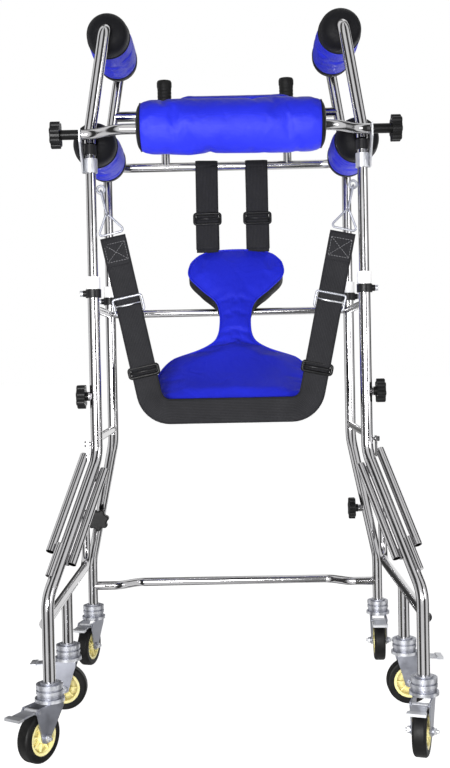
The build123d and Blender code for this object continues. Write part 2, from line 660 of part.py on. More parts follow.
# ---- rear bar -----------------------------------------------------------------------
with BuildPart() as rear_bar:
    tube(
        [
            (-REAR_BAR_END_X, REAR_BAR_END_Y, REAR_BAR_Z),
            (-240, REAR_BAR_END_Y, REAR_BAR_Z),
            (-197, REAR_BAR_MID_Y, REAR_BAR_Z),
            (197, REAR_BAR_MID_Y, REAR_BAR_Z),
            (240, REAR_BAR_END_Y, REAR_BAR_Z),
            (REAR_BAR_END_X, REAR_BAR_END_Y, REAR_BAR_Z),
        ],
        45.0, BAR_R, BAR_BORE,
    )
    for side in (-1, 1):
        rod((side * (REAR_BAR_END_X - 4), REAR_BAR_END_Y, REAR_BAR_Z),
            (side * REAR_BAR_END_X, REAR_BAR_END_Y, REAR_BAR_Z), BAR_R)
        rod((side * (REAR_BAR_END_X - 5), REAR_BAR_END_Y, REAR_BAR_Z),
            (side * REAR_BAR_END_X, REAR_BAR_END_Y, REAR_BAR_Z), STUD_HOLE_R, Mode.SUBTRACT)
save(rear_bar.part, "rear_bar")

REAR_ROLL_R = 50.0
REAR_ROLL_HALF = 171.5
roll_ends = [REAR_ROLL_SHIFT - REAR_ROLL_HALF, REAR_ROLL_SHIFT + REAR_ROLL_HALF]
with BuildPart() as rear_roll:
    rod((roll_ends[0], REAR_BAR_MID_Y, REAR_BAR_Z + 2), (roll_ends[1], REAR_BAR_MID_Y, REAR_BAR_Z + 2),
        REAR_ROLL_R)
    rod((roll_ends[0], REAR_BAR_MID_Y, REAR_BAR_Z), (roll_ends[1], REAR_BAR_MID_Y, REAR_BAR_Z),
        BAR_R + 0.2, Mode.SUBTRACT)
save(rear_roll.part, "rear_roll")


# ---- clamp knobs --------------------------------------------------------------------
LOBES = 7


def star_knob(name, base, way, stud, neck, head_r, head_t):
    """A plum-blossom knob: a stud behind its base point, a flared neck and a lobed head."""
    way = Vector(way)
    neck_end = Vector(base) + way * neck
    with BuildPart() as knob:
        rod(Vector(base) - way * stud, Vector(base) + way * 3, STUD_R)
        rod(base, neck_end, head_r * 0.36)
        with BuildSketch(Plane(origin=neck_end, z_dir=way)) as face:
            Circle(head_r * 0.82)
            with PolarLocations(head_r * 0.74, LOBES):
                Circle(head_r * 0.26)
        extrude(to_extrude=face.sketch, amount=head_t)
        outer_face = knob.faces().sort_by(Axis(base, way))[-1]
        fillet(outer_face.edges(), 2.5)
    save(knob.part, name)


for name, side in SIDES.items():
    star_knob(f"{name}_bar_knob", (side * (FLANGE_OUT + PLATE_T + 0.4), REAR_BAR_END_Y, REAR_BAR_Z),
              (side, 0, 0), 20.0, 34.0, 25.0, 18.0)
    star_knob(f"{name}_height_knob", (side * (BOSS_TIP + 0.4), REAR_Y, HEIGHT_KNOB_Z),
              (side, 0, 0), BOSS_TIP - UPRIGHT_X - INNER_R, 5.5, 23.0, 16.0)
    way = Vector(LOWER_KNOB_WAY[name])
    base = Vector(on_front_slope(LOWER_KNOB_Z[name], side)) + way * (LOWER_BOSS + 0.4)
    star_knob(f"{name}_lower_knob", base, way, 5.0, 6.0, 24.0, 14.0)


# ---- pull pins ----------------------------------------------------------------------
for x, y, side in UPRIGHTS:
    end = "rear" if y < MID_Y else "front"
    hand = "left" if side < 0 else "right"
    with BuildPart() as pull_pin:
        rod((x + side * (INNER_R + 0.4), y, PIN_Z), (x + side * 21.0, y, PIN_Z), 3.4)
        rod((x + side * (COLLAR_BOSS + 0.5), y, PIN_Z), (x + side * 25.0, y, PIN_Z), 5.5)
    save(pull_pin.part, f"{end}_{hand}_pull_pin")


# ---- casters ------------------------------------------------------------------------
AXLE_R = 4.0
CHEEK_IN = 15.0
CHEEK_OUT = 17.5
HUB_R = 31.0
FORK_TOP = 98.0
PIVOT_R = 3.0
PEDAL_TILT = 3.0


def across(spot, x, z, half, radius, mode=Mode.ADD):
    """Add or cut a cylinder across a caster at a place along its trail and height."""
    with Locations(spot * Location((x, 0, z), (90, 0, 0))):
        Cylinder(radius, 2 * half, mode=mode)


def caster(name, x, y, heading, trail):
    """Make the four pieces of one caster."""
    spot = Location((x, y, 0), (0, 0, heading))
    pivot = trail + PEDAL_BACK
    cheek_outline = [
        (-16, FORK_TOP), (pivot + 4, FORK_TOP), (pivot + 8, 92), (pivot + 4, 86),
        (trail + 9, 38), (trail, 34), (trail - 9, 38), (-16, 88),
    ]

    with BuildPart() as fork:
        for face_y in (-CHEEK_OUT, CHEEK_IN):
            cheek_plane = Plane(spot * Location((0, face_y, 0), (90, 0, 0)))
            with BuildSketch(cheek_plane) as cheek:
                with BuildLine():
                    Polyline(*cheek_outline, close=True)
                make_face()
            extrude(to_extrude=cheek.sketch, amount=-(CHEEK_OUT - CHEEK_IN))
        with Locations(spot * Location((0, 0, FORK_TOP - 1.5))):
            Box(32, 2 * CHEEK_OUT, 3)
        with Locations(spot):
            with Locations((0, 0, FORK_TOP + 3)):
                Cylinder(26, 6)
            with Locations((0, 0, FORK_TOP + 8)):
                Cylinder(22, 4.2)
            with Locations((0, 0, FORK_TOP + 35)):
                Cylinder(5.5, 55)
        across(spot, trail, WHEEL_R, 20.5, AXLE_R)
        for half_side in (-1, 1):
            with Locations(spot * Location((trail, half_side * 19, WHEEL_R), (90, 0, 0))):
                Cylinder(7.0, 3.2)
        across(spot, pivot, PEDAL_Z, CHEEK_OUT + 1, PIVOT_R)
    save(fork.part, f"{name}_fork")

    axle = Plane(spot * Location((trail, 0, WHEEL_R)))
    with BuildPart() as hub:
        with BuildSketch(axle) as half:
            with BuildLine():
                Polyline(
                    (AXLE_R + 0.06, -13), (9, -13), (11, -5), (24, -4), (26, -11), (HUB_R, -11.5),
                    (HUB_R, 11.5), (26, 11), (24, 4), (11, 5), (9, 13), (AXLE_R + 0.06, 13),
                    close=True,
                )
            make_face()
        revolve(profiles=half.sketch, axis=Axis(axle.origin, axle.y_dir))
    save(hub.part, f"{name}_hub")

    with BuildPart() as tyre:
        across(spot, trail, WHEEL_R, 12.0, WHEEL_R)
        fillet(tyre.edges(), 5.0)
        across(spot, trail, WHEEL_R, 13.0, HUB_R + 0.03, Mode.SUBTRACT)
    save(tyre.part, f"{name}_tyre")

    with BuildPart() as pedal:
        across(spot, pivot, PEDAL_Z, 13.5, 5.0)
        with Locations(spot * Location((pivot + 25, 0, PEDAL_Z - 0.5), (0, PEDAL_TILT, 0))):
            Box(50, 27, 3)
        with Locations(spot * Location((pivot + 44, 0, PEDAL_Z - 1), (0, PEDAL_TILT, 0))):
            Box(12, 33, 5)
        across(spot, pivot, PEDAL_Z, 14, PIVOT_R + 0.06, Mode.SUBTRACT)
    save(pedal.part, f"{name}_pedal")


for name, (x, y, heading, trail) in CASTERS.items():
    caster(name, x, y, heading, trail)
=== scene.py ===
import json
import random
from math import cos, pi, radians, sin, sqrt, tan

import bmesh
import bpy
from mathutils import Matrix, Vector


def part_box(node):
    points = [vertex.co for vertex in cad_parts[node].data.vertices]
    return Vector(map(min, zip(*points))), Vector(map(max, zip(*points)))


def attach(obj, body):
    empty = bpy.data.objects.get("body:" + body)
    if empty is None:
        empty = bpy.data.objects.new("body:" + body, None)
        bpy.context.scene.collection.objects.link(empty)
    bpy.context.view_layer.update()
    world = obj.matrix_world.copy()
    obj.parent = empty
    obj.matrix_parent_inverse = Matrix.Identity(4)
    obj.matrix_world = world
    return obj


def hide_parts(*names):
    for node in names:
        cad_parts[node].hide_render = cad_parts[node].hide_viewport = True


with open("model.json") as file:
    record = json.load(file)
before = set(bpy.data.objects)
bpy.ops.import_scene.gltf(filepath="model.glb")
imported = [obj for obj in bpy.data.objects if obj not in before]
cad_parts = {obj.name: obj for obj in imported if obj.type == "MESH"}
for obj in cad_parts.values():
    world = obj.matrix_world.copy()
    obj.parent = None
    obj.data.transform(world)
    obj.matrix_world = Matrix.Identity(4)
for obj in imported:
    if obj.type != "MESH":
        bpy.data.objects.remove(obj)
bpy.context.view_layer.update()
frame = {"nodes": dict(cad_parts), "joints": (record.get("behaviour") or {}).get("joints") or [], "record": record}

# ---- positions taken from the CAD frame ----------------------------------------------
tubes_low, tubes_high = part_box("inner_tubes")
TUBE_R = 0.0095
REAR_Y = tubes_low[1] + TUBE_R
FRONT_Y = tubes_high[1] - TUBE_R
MID_Y = (REAR_Y + FRONT_Y) / 2


# ---- materials -----------------------------------------------------------------------
WAVE_TURN = 0.314159               # a wave texture's scale times the length of one wave


class Shader:
    """A node material while it is being put together."""

    def __init__(self, name, coordinates="Object"):
        self.material = bpy.data.materials.new(name)
        self.material.use_nodes = True
        self.tree = self.material.node_tree
        self.surface = self.tree.nodes["Principled BSDF"]
        self.place = self.node("ShaderNodeTexCoord").outputs[coordinates]

    def put(self, socket, value):
        if isinstance(value, bpy.types.NodeSocket):
            self.tree.links.new(value, socket)
        elif socket.type == "RGBA" and len(value) == 3:
            socket.default_value = (*value, 1.0)
        else:
            socket.default_value = value

    def node(self, kind, inputs=None, **settings):
        made = self.tree.nodes.new(kind)
        for key, value in settings.items():
            setattr(made, key, value)
        for key, value in (inputs or {}).items():
            self.put(made.inputs[key], value)
        return made

    def stretched(self, scale):
        """The object's coordinates scaled differently along each axis."""
        return self.node("ShaderNodeMapping", {"Vector": self.place, "Scale": scale}).outputs[0]

    def noise(self, scale, detail=2.0, vector=None, rough=0.5, warp=0.0):
        return self.node("ShaderNodeTexNoise", {
            "Vector": vector or self.place, "Scale": scale, "Detail": detail,
            "Roughness": rough, "Distortion": warp,
        }).outputs["Fac"]

    def cells(self, scale):
        return self.node("ShaderNodeTexVoronoi", {
            "Vector": self.place, "Scale": scale,
        }).outputs["Distance"]

    def bands(self, direction, spacing):
        """A sine wave with a given spacing in metres along one axis."""
        return self.node("ShaderNodeTexWave", {
            "Vector": self.place, "Scale": WAVE_TURN / spacing,
        }, bands_direction=direction).outputs["Fac"]

    def math(self, operation, a, b=0.0):
        return self.node("ShaderNodeMath", {0: a, 1: b}, operation=operation).outputs[0]

    def span(self, value, low, high, to_low, to_high):
        return self.node("ShaderNodeMapRange", {
            "Value": value, "From Min": low, "From Max": high, "To Min": to_low, "To Max": to_high,
        }).outputs[0]

    def tint(self, factor, a, b):
        made = self.node("ShaderNodeMix", data_type="RGBA")
        self.put(made.inputs[0], factor)
        self.put(made.inputs[6], a)
        self.put(made.inputs[7], b)
        return made.outputs[2]

    def worn(self, colour, edge_colour):
        """A colour that turns to another along convex edges."""
        point = self.node("ShaderNodeNewGeometry").outputs["Pointiness"]
        return self.tint(self.span(point, 0.53, 0.60, 0.0, 1.0), colour, edge_colour)

    def bump(self, height, strength, distance, normal=None):
        inputs = {"Height": height, "Strength": strength, "Distance": distance}
        if normal:
            inputs["Normal"] = normal
        return self.node("ShaderNodeBump", inputs).outputs[0]

    def finish(self, **sockets):
        for key, value in sockets.items():
            self.put(self.surface.inputs[key.replace("_", " ")], value)
        return self.material


def stainless():
    """Polished stainless tube: draw marks along the tube, faint haze and finger marks."""
    s = Shader("polished_stainless")
    marks = s.noise(260.0, 3.0, s.stretched((1.0, 1.0, 0.02)))
    haze = s.noise(14.0, 4.0, rough=0.62)
    colour = s.tint(haze, (0.47, 0.47, 0.48), (0.62, 0.61, 0.62))
    rough = s.math("ADD", s.span(haze, 0.35, 0.7, 0.08, 0.16), s.span(marks, 0.4, 0.7, 0.0, 0.06))
    return s.finish(Base_Color=colour, Metallic=1.0, Roughness=rough,
                    Normal=s.bump(marks, 0.04, 0.0004))


def zinc():
    """Bright zinc plate: cloudy crystals, duller in patches, brighter on the edges."""
    s = Shader("zinc_plate")
    crystals = s.cells(210.0)
    clouds = s.noise(38.0, 5.0, rough=0.6)
    base = s.tint(clouds, (0.25, 0.26, 0.30), (0.46, 0.47, 0.53))
    colour = s.worn(base, (0.68, 0.69, 0.72))
    rough = s.math("ADD", s.span(clouds, 0.3, 0.7, 0.30, 0.46), s.span(crystals, 0.0, 0.8, 0.0, 0.08))
    grain = s.math("ADD", s.math("MULTIPLY", crystals, 0.5), clouds)
    return s.finish(Base_Color=colour, Metallic=0.85, Roughness=rough,
                    Normal=s.bump(grain, 0.12, 0.0005))


def moulded(name, colour, worn, rough, gloss=0.5, grain=0.10):
    """Moulded plastic with a fine spark texture and rubbed edges."""
    s = Shader(name)
    spark = s.noise(900.0, 2.0)
    patches = s.noise(22.0, 3.0)
    shade = s.tint(s.span(patches, 0.35, 0.7, 0.0, 0.35), colour, worn)
    return s.finish(Base_Color=s.worn(shade, worn), Specular_IOR_Level=gloss,
                    Roughness=s.span(patches, 0.3, 0.7, rough - 0.06, rough + 0.08),
                    Normal=s.bump(spark, grain, 0.0003))


def tread():
    """Caster tyre: grey-black rubber, dusty in the middle of the tread."""
    s = Shader("tyre_rubber")
    dust = s.noise(70.0, 5.0, rough=0.65)
    colour = s.tint(s.span(dust, 0.45, 0.75, 0.0, 0.5), (0.003, 0.003, 0.003), (0.020, 0.019, 0.018))
    return s.finish(Base_Color=colour, Roughness=s.span(dust, 0.3, 0.7, 0.42, 0.62),
                    Specular_IOR_Level=0.25, Normal=s.bump(dust, 0.2, 0.0006))


def wheel_core():
    """Yellow polyurethane wheel core, slightly see-through, with painted shade that turns its recesses brown."""
    s = Shader("yellow_core")
    cloud = s.noise(45.0, 3.0)
    recess_for_painted_shade = s.node("ShaderNodeNewGeometry").outputs["Pointiness"]
    base = s.tint(cloud, (0.82, 0.72, 0.25), (0.93, 0.86, 0.47))
    # painted shade: concave recesses (low pointiness) turn dark brown, standing in for the shade that falls there
    colour = s.tint(s.span(recess_for_painted_shade, 0.40, 0.49, 1.0, 0.0), base, (0.30, 0.22, 0.05))
    return s.finish(Base_Color=colour, Roughness=s.span(cloud, 0.3, 0.7, 0.22, 0.38),
                    Subsurface_Weight=0.08, Subsurface_Radius=(0.004, 0.003, 0.001),
                    Normal=s.bump(cloud, 0.05, 0.001))


def cloth(name, dark, light, rough, gloss):
    """Coated woven cover: plain weave, soft creases and a little sheen."""
    s = Shader(name)
    thread = 0.0011
    grid = [s.bands(axis, thread) for axis in "XYZ"]
    over = s.math("MAXIMUM", s.math("MULTIPLY", grid[0], grid[1]), s.math("MULTIPLY", grid[1], grid[2]))
    over = s.math("MAXIMUM", over, s.math("MULTIPLY", grid[0], grid[2]))
    folds = s.noise(26.0, 3.0, s.stretched((1.0, 0.7, 1.0)), warp=0.8)
    fading = s.noise(8.0, 3.0)
    tone = s.math("ADD", s.math("MULTIPLY", fading, 0.75), s.math("MULTIPLY", over, 0.25))
    creases = s.bump(folds, 0.5, 0.004)
    return s.finish(Base_Color=s.tint(tone, dark, light), Specular_IOR_Level=gloss,
                    Roughness=s.span(over, 0.0, 1.0, rough + 0.06, rough - 0.05),
                    Sheen_Weight=0.02, Sheen_Roughness=0.35,
                    Normal=s.bump(over, 0.35, 0.0004, creases))


def webbing():
    """Strap webbing, by distance across and along the strap: ribs, picks and rubbed edges."""
    s = Shader("woven_strap", "UV")
    ribs = s.bands("X", 0.0030)
    picks = s.bands("Y", 0.0016)
    relief = s.math("ADD", ribs, s.math("MULTIPLY", picks, 0.6))
    lint = s.noise(340.0, 4.0)
    patches = s.noise(28.0, 3.0)
    base = s.tint(s.math("MULTIPLY", relief, 0.6), (0.003, 0.003, 0.004), (0.017, 0.017, 0.020))
    fluff = s.math("MULTIPLY", s.math("MULTIPLY", lint, patches), 0.6)
    colour = s.tint(fluff, base, (0.05, 0.05, 0.055))
    return s.finish(Base_Color=colour, Roughness=s.span(relief, 0.0, 1.6, 0.70, 0.52),
                    Specular_IOR_Level=0.15, Sheen_Weight=0.02, Sheen_Roughness=0.5,
                    Normal=s.bump(relief, 0.5, 0.0006))


STEEL = stainless()
ZINC = zinc()
BLACK = moulded("black_nylon", (0.003, 0.003, 0.003), (0.012, 0.012, 0.013), 0.34, 0.22)
GRIP = moulded("grip_rubber", (0.004, 0.004, 0.004), (0.014, 0.014, 0.014), 0.55, 0.25, 0.3)
WHITE = moulded("white_nylon", (0.78, 0.79, 0.80), (0.90, 0.90, 0.90), 0.30)
TYRE = tread()
CORE = wheel_core()
BLUE = cloth("royal_blue_cover", (0.007, 0.011, 0.36), (0.022, 0.034, 0.78), 0.42, 0.24)
LINER = cloth("black_cover", (0.003, 0.003, 0.004), (0.009, 0.009, 0.011), 0.46, 0.14)
STRAP = webbing()
THREAD = moulded("sewing_thread", (0.10, 0.10, 0.11), (0.20, 0.20, 0.21), 0.6)
BLUE_THREAD = moulded("blue_thread", (0.05, 0.07, 0.60), (0.10, 0.12, 0.80), 0.5)

FINISHES = {
    "stainless_steel": STEEL, "zinc": ZINC, "white_plastic": WHITE, "black_plastic": BLACK,
    "black_rubber": GRIP, "black_webbing": STRAP, "blue_fabric": BLUE, "black_tyre": TYRE,
    "yellow_plastic": CORE,
}
for part in frame["record"]["subparts"]:
    node = frame["nodes"][part["node"]]
    for material_slot in node.material_slots:
        material_slot.material = FINISHES[part["material_slot"]]


# ---- helpers for pieces ---------------------------------------------------------------
def piece(name, mesh, body, materials, nodes=(), smooth=True):
    """Put a mesh in the scene as a piece that rides on a body."""
    obj = bpy.data.objects.new(name, mesh)
    bpy.context.scene.collection.objects.link(obj)
    for material in materials:
        mesh.materials.append(material)
    if smooth:
        mesh.polygons.foreach_set("use_smooth", [True] * len(mesh.polygons))
    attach(obj, body)
    if nodes:
        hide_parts(*nodes)
    return obj


def to_mesh(name, bm):
    bmesh.ops.recalc_face_normals(bm, faces=bm.faces)
    mesh = bpy.data.meshes.new(name)
    bm.to_mesh(mesh)
    bm.free()
    return mesh


def lathe(bm, profile, steps, place):
    """Turn (distance along, radius) pairs about the local Z axis of a place."""
    rings = []
    for along, radius in profile:
        if radius < 1e-6:
            rings.append([bm.verts.new(place @ Vector((0, 0, along)))])
        else:
            rings.append([
                bm.verts.new(place @ Vector((radius * cos(2 * pi * i / steps),
                                             radius * sin(2 * pi * i / steps), along)))
                for i in range(steps)
            ])
    for a, b in zip(rings, rings[1:]):
        for i in range(steps):
            j = (i + 1) % steps
            loop = [a[i % len(a)], a[j % len(a)], b[j % len(b)], b[i % len(b)]]
            corners = list(dict.fromkeys(loop))
            if len(corners) > 2:
                bm.faces.new(corners)
    return rings


def along_axis(origin, axis, spin=0.0):
    """A place whose local Z points along an axis."""
    turn = Vector((0, 0, 1)).rotation_difference(Vector(axis)).to_matrix().to_4x4()
    return Matrix.Translation(origin) @ turn @ Matrix.Rotation(spin, 4, "Z")


def rounded(points, radius, step=0.006):
    """A route of straight runs and arcs as closely spaced points."""
    corners = [Vector(p) for p in points]
    route = [corners[0]]
    for before, corner, after in zip(corners, corners[1:], corners[2:]):
        to_a = (before - corner).normalized()
        to_b = (after - corner).normalized()
        angle = to_a.angle(to_b)
        cut = min(radius / tan(angle / 2), 0.48 * (before - corner).length,
                  0.48 * (after - corner).length)
        size = cut * tan(angle / 2)
        centre = corner + (to_a + to_b).normalized() * (size / sin(angle / 2))
        start, end = corner + to_a * cut, corner + to_b * cut
        count = max(3, round((pi - angle) * size / step))
        u, v = start - centre, end - centre
        for i in range(count + 1):
            route.append(centre + u.slerp(v, i / count).normalized() * size)
    route.append(corners[-1])
    dense = [route[0]]
    for a, b in zip(route, route[1:]):
        gap = (b - a).length
        if gap < 1e-7:
            continue
        count = max(1, round(gap / step))
        dense += [a.lerp(b, i / count) for i in range(1, count + 1)]
    return dense


def wire(bm, route, radius, sides=10, closed=False, material=0):
    """Run a round wire along a route."""
    count = len(route)
    rings = []
    normal = None
    for i, point in enumerate(route):
        if closed:
            tangent = (route[(i + 1) % count] - route[i - 1]).normalized()
        else:
            tangent = (route[min(i + 1, count - 1)] - route[max(i - 1, 0)]).normalized()
        if normal is None:
            normal = tangent.orthogonal().normalized()
        normal = (normal - tangent * normal.dot(tangent)).normalized()
        other = tangent.cross(normal)
        rings.append([
            bm.verts.new(point + radius * (cos(2 * pi * k / sides) * normal
                                           + sin(2 * pi * k / sides) * other))
            for k in range(sides)
        ])
    pairs = list(zip(rings, rings[1:]))
    if closed:
        pairs.append((rings[-1], rings[0]))
    for a, b in pairs:
        shift = 0
        if b is rings[0]:
            shift = min(range(sides), key=lambda k: (a[0].co - b[k].co).length)
        for k in range(sides):
            j = (k + 1) % sides
            made = bm.faces.new([a[k], a[j], b[(j + shift) % sides], b[(k + shift) % sides]])
            made.material_index = material
    if not closed:
        bm.faces.new(rings[0]).material_index = material
        bm.faces.new(rings[-1]).material_index = material


STRAP_W, STRAP_THICK = 0.048, 0.0022


def frames_along(route, face):
    """The across and outward directions of a flat strap at each point of its route."""
    made = []
    for i in range(len(route)):
        tangent = (route[min(i + 1, len(route) - 1)] - route[max(i - 1, 0)]).normalized()
        look = face(i) if callable(face) else Vector(face)
        across = look.cross(tangent).normalized()
        made.append((across, tangent.cross(across) * -1.0))
    return made


def strap(bm, route, face, width=STRAP_W, curl=0.0006, seed=0):
    """Add webbing along a route; its UV map is in metres across and along."""
    uv = bm.loops.layers.uv.verify()
    rng = random.Random(seed)
    phase = [rng.uniform(0, 2 * pi) for _ in range(3)]
    columns = 9
    spread = [-1 + 2 * k / (columns - 1) for k in range(columns)]
    shape = [(u, 1) for u in spread] + [(-u, -1) for u in spread]
    rings, spots, travelled = [], [], 0.0
    for i, (point, (across, out)) in enumerate(zip(route, frames_along(route, face))):
        if i:
            travelled += (route[i] - route[i - 1]).length
        wave = 0.0006 * sin(38 * travelled + phase[0]) + 0.0004 * sin(83 * travelled + phase[1])
        skew = 0.0005 * sin(29 * travelled + phase[2])
        ring = []
        for u, side in shape:
            edge = 0.35 if abs(u) == 1 else 1.0
            h = side * edge * STRAP_THICK / 2 + curl * (u * u - 0.5) + wave + skew * u
            ring.append(bm.verts.new(point + across * (u * width / 2) + out * h))
        rings.append(ring)
        spots.append(travelled)
    n = len(shape)

    def set_uv(face_made, along_pairs):
        for loop, (k, along) in zip(face_made.loops, along_pairs):
            loop[uv].uv = (shape[k % n][0] * width / 2, along)

    for i in range(len(rings) - 1):
        a, b = rings[i], rings[i + 1]
        for k in range(n):
            j = (k + 1) % n
            made = bm.faces.new([a[k], a[j], b[j], b[k]])
            set_uv(made, [(k, spots[i]), (j, spots[i]), (j, spots[i + 1]), (k, spots[i + 1])])
    for ring, along in ((rings[0], spots[0]), (rings[-1], spots[-1])):
        set_uv(bm.faces.new(ring), [(k, along) for k in range(n)])


def stitches(bm, route):
    """A row of stitches along a route."""
    length, gap = 0.0032, 0.0018
    position = 0.0
    total = sum((b - a).length for a, b in zip(route, route[1:]))

    def at(distance):
        left = distance
        for i, (a, b) in enumerate(zip(route, route[1:])):
            run = (b - a).length
            if left <= run or i == len(route) - 2:
                return a.lerp(b, min(1.0, left / max(run, 1e-9)))
            left -= run
        return route[-1]

    while position + length < total:
        start, end = at(position), at(position + length)
        wire(bm, [start, (start + end) / 2, end], 0.00045, 6)
        position += length + gap


def stuffed(obj, cap, pinned, grow):
    """Swell a closed mesh as a stuffed cover; no point moves further than the cap."""
    mesh = obj.data
    start = [v.co.copy() for v in mesh.vertices]
    frames = 20
    group = obj.vertex_groups.new(name="held")
    group.add(pinned, 1.0, "REPLACE")
    modifier = obj.modifiers.new("stuffing", "CLOTH")
    settings = modifier.settings
    settings.use_pressure = True
    settings.uniform_pressure_force = 4.0
    settings.effector_weights.gravity = 0.0
    settings.mass = 0.25
    settings.tension_stiffness = 12.0
    settings.compression_stiffness = 12.0
    settings.bending_stiffness = 0.4
    settings.shrink_min = -grow
    settings.quality = 5
    settings.vertex_group_mass = "held"
    modifier.point_cache.frame_start = 1
    modifier.point_cache.frame_end = frames
    scene = bpy.context.scene
    for number in range(1, frames + 1):
        scene.frame_set(number)
    bpy.context.view_layer.update()
    settled = obj.evaluated_get(bpy.context.evaluated_depsgraph_get())
    moved = [v.co.copy() for v in settled.to_mesh().vertices]
    settled.to_mesh_clear()
    obj.modifiers.remove(modifier)
    obj.vertex_groups.remove(group)
    for vertex, old, new in zip(mesh.vertices, start, moved):
        shift = new - old
        if shift.length > cap:
            shift *= cap / shift.length
        vertex.co = old + shift
    scene.frame_set(1)


def subdivided(obj):
    modifier = obj.modifiers.new("smooth", "SUBSURF")
    modifier.levels = 1
    modifier.render_levels = 1


# ---- foam rolls ------------------------------------------------------------------------
END_LENGTH = 0.015                 # the longest gathered end
ROW = 0.0055                       # between two rings of points
SLACK = 0.0035                     # room for the cover to swell in
ROUNDING = (0.030, 0.012)          # length and depth of the fall towards an end
GATHERS = [(0.0, 0.30), (0.08, 0.56), (0.24, 0.76), (0.48, 0.90), (0.80, 0.98)]


def foam_roll(name, centre, axis, half, radius, core, body, seam_turn, nodes=(), cap=0.045):
    """A covered foam roll: blue sleeve, black gathered end caps, seams and stitches."""
    steps = 56
    body_half = half - cap
    end = min(END_LENGTH, cap - 0.001)
    rows = round(2 * body_half / ROW)

    def cover(along):
        """The cover's radius, rounded off towards both ends."""
        near_end = max(0.0, 1 - (half - abs(along)) / ROUNDING[0])
        return radius - SLACK - ROUNDING[1] * near_end ** 2

    profile = []
    for inward, share in GATHERS:
        along = -half + 0.001 + end * inward
        profile.append((along, cover(along) * share))
    sleeve = int((cap - end) / ROW)
    for i in range(sleeve):
        along = -half + end + (cap - end) * (i + 0.5) / sleeve
        profile.append((along, cover(along)))
    ends = len(profile)
    for i in range(rows + 1):
        share = -1 + 2 * i / rows
        crown = 0.0016 * (1 - share * share)
        profile.append((body_half * share, cover(body_half * share) + crown))
    profile += [(-along, size) for along, size in reversed(profile[:ends])]
    profile = [(profile[0][0] + 0.0015, core)] + profile + [(profile[-1][0] - 0.0015, core)]
    profile = [(profile[0][0] + 0.012, 0.0)] + profile + [(profile[-1][0] - 0.012, 0.0)]
    place = along_axis(centre, axis)
    bm = bmesh.new()
    rings = lathe(bm, profile, steps, place)
    bm.verts.index_update()
    seam_rows = (2 + ends, len(rings) - 3 - ends)
    held = [v.index for row in (0, 1, 2, seam_rows[0], seam_rows[1], -3, -2, -1) for v in rings[row]]
    column = round(steps * seam_turn / 360)
    seam = [rings[row][column].index for row in range(seam_rows[0], seam_rows[1] + 1)]
    local = place.inverted()
    for made in bm.faces:
        along = (local @ made.calc_center_median()).z
        made.material_index = 1 if abs(along) > body_half else 0
    mesh = to_mesh(name, bm)
    obj = piece(name, mesh, body, [BLUE, LINER], nodes)
    stuffed(obj, 0.0045, held, 0.02)
    subdivided(obj)

    trim = bmesh.new()
    for row in seam_rows:
        along = profile[row][0]
        size = profile[row][1] + 0.0006
        turns = [2 * pi * i / 72 for i in range(72)]
        circle = [place @ Vector((size * cos(turn), size * sin(turn), along)) for turn in turns]
        wire(trim, circle, 0.0014, 8, closed=True, material=1)
    turned = 2 * pi * column / steps
    out = (place.to_3x3() @ Vector((cos(turned), sin(turned), 0))).normalized()
    stitches(trim, [mesh.vertices[i].co + out * 0.0003 for i in seam])
    piece(f"{name}_trim", to_mesh(f"{name}_trim", trim), body, [BLUE_THREAD, LINER])


def roll_size(node):
    low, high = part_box(node)
    return low, high, (high[2] - low[2]) / 2, (high[2] + low[2]) / 2


for label, core in (("armpit_roll", 0.0116), ("forearm_roll", 0.0095)):
    node = f"{label}s"
    low, high, radius, z = roll_size(node)
    half = (high[1] - low[1]) / 2
    for hand, side in (("left", -1), ("right", 1)):
        x = side * (high[0] - radius)
        foam_roll(f"{hand}_{label}", (x, (low[1] + high[1]) / 2, z), (0, 1, 0), half, radius, core,
                  "armpit_frame", 250 if side < 0 else 290, [node])

low, high, radius, z = roll_size("rear_roll")
foam_roll("rear_bar_roll", ((low[0] + high[0]) / 2, (low[1] + high[1]) / 2, z), (1, 0, 0),
          (high[0] - low[0]) / 2, radius, 0.0125, "removable_rear_bar", 80, ["rear_roll"], cap=0.010)


# ---- chest pad -------------------------------------------------------------------------
def rounded_outline(half_w, half_h, corner, count):
    """Points round a rectangle with rounded corners, spaced evenly, from the right side."""
    pieces = [
        ("line", (half_w, -half_h + corner), (half_w, half_h - corner)),
        ("arc", (half_w - corner, half_h - corner), 0),
        ("line", (half_w - corner, half_h), (-half_w + corner, half_h)),
        ("arc", (-half_w + corner, half_h - corner), 90),
        ("line", (-half_w, half_h - corner), (-half_w, -half_h + corner)),
        ("arc", (-half_w + corner, -half_h + corner), 180),
        ("line", (-half_w + corner, -half_h), (half_w - corner, -half_h)),
        ("arc", (half_w - corner, -half_h + corner), 270),
    ]
    dense = []
    for kind, a, b in pieces:
        if kind == "line":
            dense += [(a[0] + (b[0] - a[0]) * i / 60, a[1] + (b[1] - a[1]) * i / 60) for i in range(60)]
        else:
            turns = [radians(b + 1.5 * i) for i in range(60)]
            dense += [(a[0] + corner * cos(turn), a[1] + corner * sin(turn)) for turn in turns]
    lengths = [0.0]
    for p, q in zip(dense, dense[1:] + dense[:1]):
        lengths.append(lengths[-1] + sqrt((q[0] - p[0]) ** 2 + (q[1] - p[1]) ** 2))
    points, j = [], 0
    for i in range(count):
        target = lengths[-1] * i / count
        while lengths[j + 1] < target:
            j += 1
        p, q = dense[j], dense[(j + 1) % len(dense)]
        share = (target - lengths[j]) / max(1e-9, lengths[j + 1] - lengths[j])
        points.append((p[0] + (q[0] - p[0]) * share, p[1] + (q[1] - p[1]) * share))
    return points


